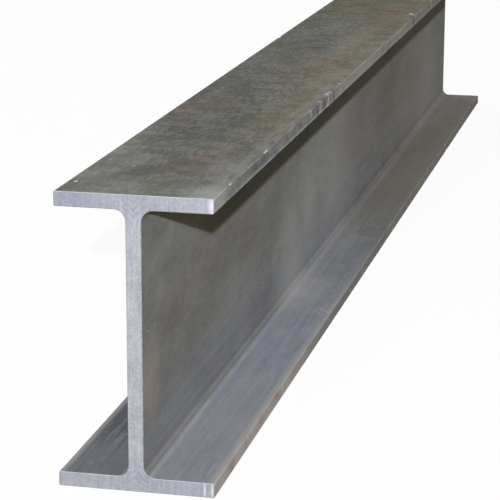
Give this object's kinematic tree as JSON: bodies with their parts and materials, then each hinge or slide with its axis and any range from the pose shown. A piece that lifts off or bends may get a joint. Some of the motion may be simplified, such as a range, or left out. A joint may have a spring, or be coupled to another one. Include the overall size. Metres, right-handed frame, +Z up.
{
  "type": "steel i-beam",
  "caption": "Straight length of hot-rolled steel I-section with parallel flanges, rounded root fillets and square saw-cut ends.",
  "frame": {"origin": "middle of the bottom flange's underside", "axes": "+X along the beam, away from the end that the picture shows; +Y across the flanges, to the left as that end is faced; +Z up the web"},
  "size_m": [1.5, 0.106, 0.2],
  "materials": {
    "mill_scale_steel": "hot-rolled with grey mill scale, slight rust tints and bare saw-cut ends"
  },
  "bodies": {
    "root": {"i_beam": "mill_scale_steel"}
  },
  "joints": []
}
